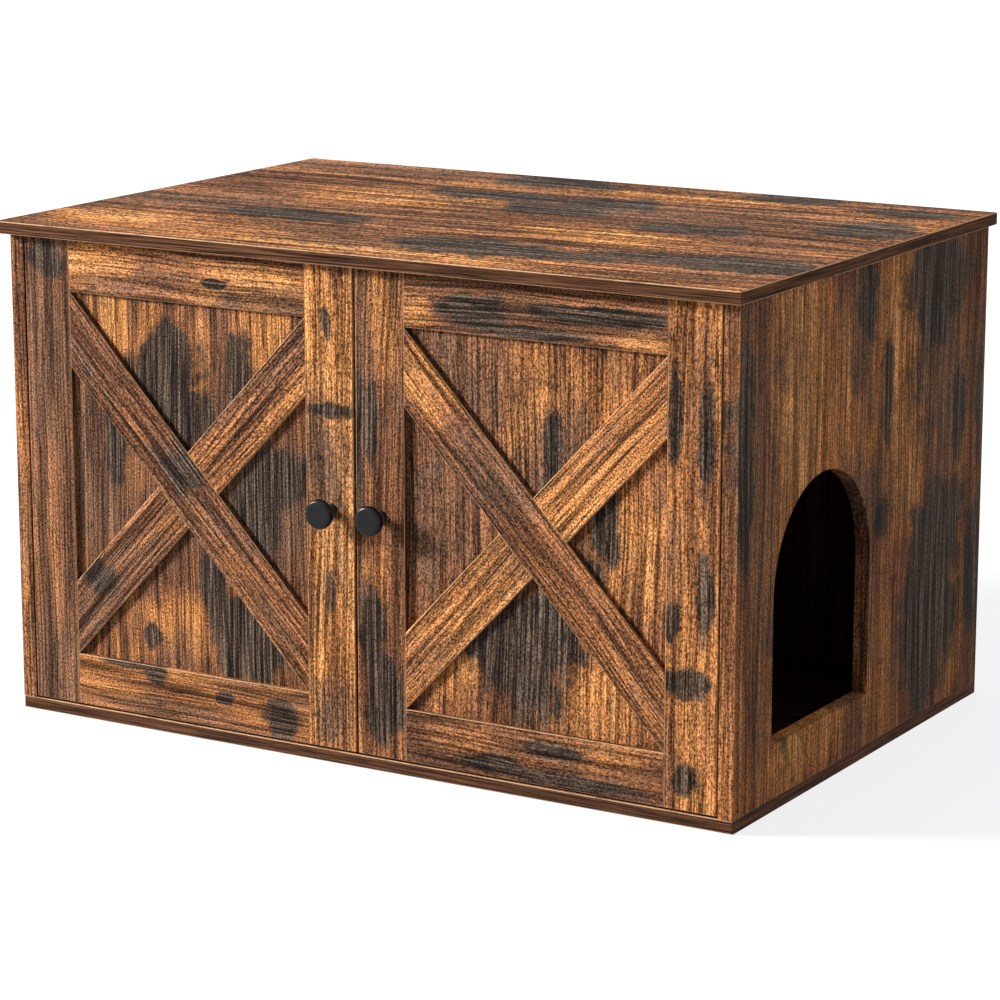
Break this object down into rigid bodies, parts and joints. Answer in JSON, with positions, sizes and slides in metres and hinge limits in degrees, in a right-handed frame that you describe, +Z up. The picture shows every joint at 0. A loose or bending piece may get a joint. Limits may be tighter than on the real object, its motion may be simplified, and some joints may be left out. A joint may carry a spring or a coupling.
{
  "type": "cat litter box cabinet",
  "caption": "Wooden cabinet that hides a cat litter box, with inset X-braced doors, round knobs, concealed hinges and an arched side entrance.",
  "frame": {"origin": "centre of the bottom board's underside, on the floor", "axes": "+X to the right seen from the front, along the width; -Y out through the doors; +Z up"},
  "size_m": [0.8, 0.554, 0.485],
  "materials": {
    "top_laminate": "matt rustic wood-look laminate, grain along X",
    "side_laminate": "matt rustic wood-look laminate",
    "door_laminate": "matt rustic wood-look laminate",
    "brace_laminate": "embossed rustic wood-look laminate",
    "back_board": "thin laminated back board",
    "beech": "plain fluted beech",
    "black_metal": "satin black",
    "magnet_steel": "ground",
    "white_plastic": "moulded",
    "zinc_steel": "bright zinc"
  },
  "bodies": {
    "cabinet": {"back_panel": "back_board", "back_panel_screws": "zinc_steel", "bottom_board": "side_laminate", "cam_bolts": "zinc_steel", "cam_locks": "zinc_steel", "catch_magnets": "magnet_steel", "catch_screws": "zinc_steel", "divider_panel": "side_laminate", "dowels": "beech", "hinge_arm_pins": "zinc_steel", "hinge_arm_screws": "zinc_steel", "left_catch_housing": "white_plastic", "left_side_panel": "side_laminate", "lower_left_hinge_arm": "zinc_steel", "lower_left_hinge_plate": "zinc_steel", "lower_right_hinge_arm": "zinc_steel", "lower_right_hinge_plate": "zinc_steel", "mounting_plate_screws": "zinc_steel", "right_catch_housing": "white_plastic", "right_side_panel": "side_laminate", "top_board": "top_laminate", "upper_left_hinge_arm": "zinc_steel", "upper_left_hinge_plate": "zinc_steel", "upper_right_hinge_arm": "zinc_steel", "upper_right_hinge_plate": "zinc_steel"},
    "left_inner_links": {"left_inner_links": "zinc_steel"},
    "left_outer_links": {"left_outer_links": "zinc_steel"},
    "left_door": {"left_bottom_rail": "door_laminate", "left_door_panel": "door_laminate", "left_door_screws": "zinc_steel", "left_hinge_cup_pins": "zinc_steel", "left_hinge_stile": "door_laminate", "left_knob": "black_metal", "left_knob_screw": "zinc_steel", "left_lock_stile": "door_laminate", "left_long_brace": "brace_laminate", "left_lower_brace": "brace_laminate", "left_strike_plate": "zinc_steel", "left_top_rail": "door_laminate", "left_upper_brace": "brace_laminate", "lower_left_hinge_cup": "zinc_steel", "upper_left_hinge_cup": "zinc_steel"},
    "right_inner_links": {"right_inner_links": "zinc_steel"},
    "right_outer_links": {"right_outer_links": "zinc_steel"},
    "right_door": {"right_bottom_rail": "door_laminate", "right_door_panel": "door_laminate", "right_door_screws": "zinc_steel", "right_hinge_cup_pins": "zinc_steel", "right_hinge_stile": "door_laminate", "right_knob": "black_metal", "right_knob_screw": "zinc_steel", "right_lock_stile": "door_laminate", "right_long_brace": "brace_laminate", "right_lower_brace": "brace_laminate", "right_strike_plate": "zinc_steel", "right_top_rail": "door_laminate", "right_upper_brace": "brace_laminate", "lower_right_hinge_cup": "zinc_steel", "upper_right_hinge_cup": "zinc_steel"}
  },
  "joints": [
    {"name": "left_door_hinge", "type": "hinge", "parent": "left_inner_links", "child": "left_door", "pos_m": [-0.3662, -0.2514, 0.2425], "axis": [0, 0, -1], "range_deg": [0, 124.92]},
    {"name": "left_inner_link_swing", "type": "hinge", "parent": "cabinet", "child": "left_inner_links", "pos_m": [-0.3548, -0.2345, 0.2425], "axis": [0, 0, -1], "range_deg": [-30, 0]},
    {"name": "left_outer_link_swing", "type": "hinge", "parent": "cabinet", "child": "left_outer_links", "pos_m": [-0.3451, -0.2435, 0.2425], "axis": [0, 0, -1], "range_deg": [-33, 0]},
    {"name": "right_door_hinge", "type": "hinge", "parent": "right_inner_links", "child": "right_door", "pos_m": [0.3662, -0.2514, 0.2425], "axis": [0, 0, 1], "range_deg": [0, 124.92]},
    {"name": "right_inner_link_swing", "type": "hinge", "parent": "cabinet", "child": "right_inner_links", "pos_m": [0.3548, -0.2345, 0.2425], "axis": [0, 0, 1], "range_deg": [-30, 0]},
    {"name": "right_outer_link_swing", "type": "hinge", "parent": "cabinet", "child": "right_outer_links", "pos_m": [0.3451, -0.2435, 0.2425], "axis": [0, 0, 1], "range_deg": [-33, 0]}
  ],
  "couplings": [
    {"joint": "left_inner_link_swing", "follows": "left_door_hinge", "ratio": -0.23954},
    {"joint": "left_outer_link_swing", "follows": "left_door_hinge", "ratio": -0.25856},
    {"joint": "right_inner_link_swing", "follows": "right_door_hinge", "ratio": -0.23954},
    {"joint": "right_outer_link_swing", "follows": "right_door_hinge", "ratio": -0.25856}
  ]
}
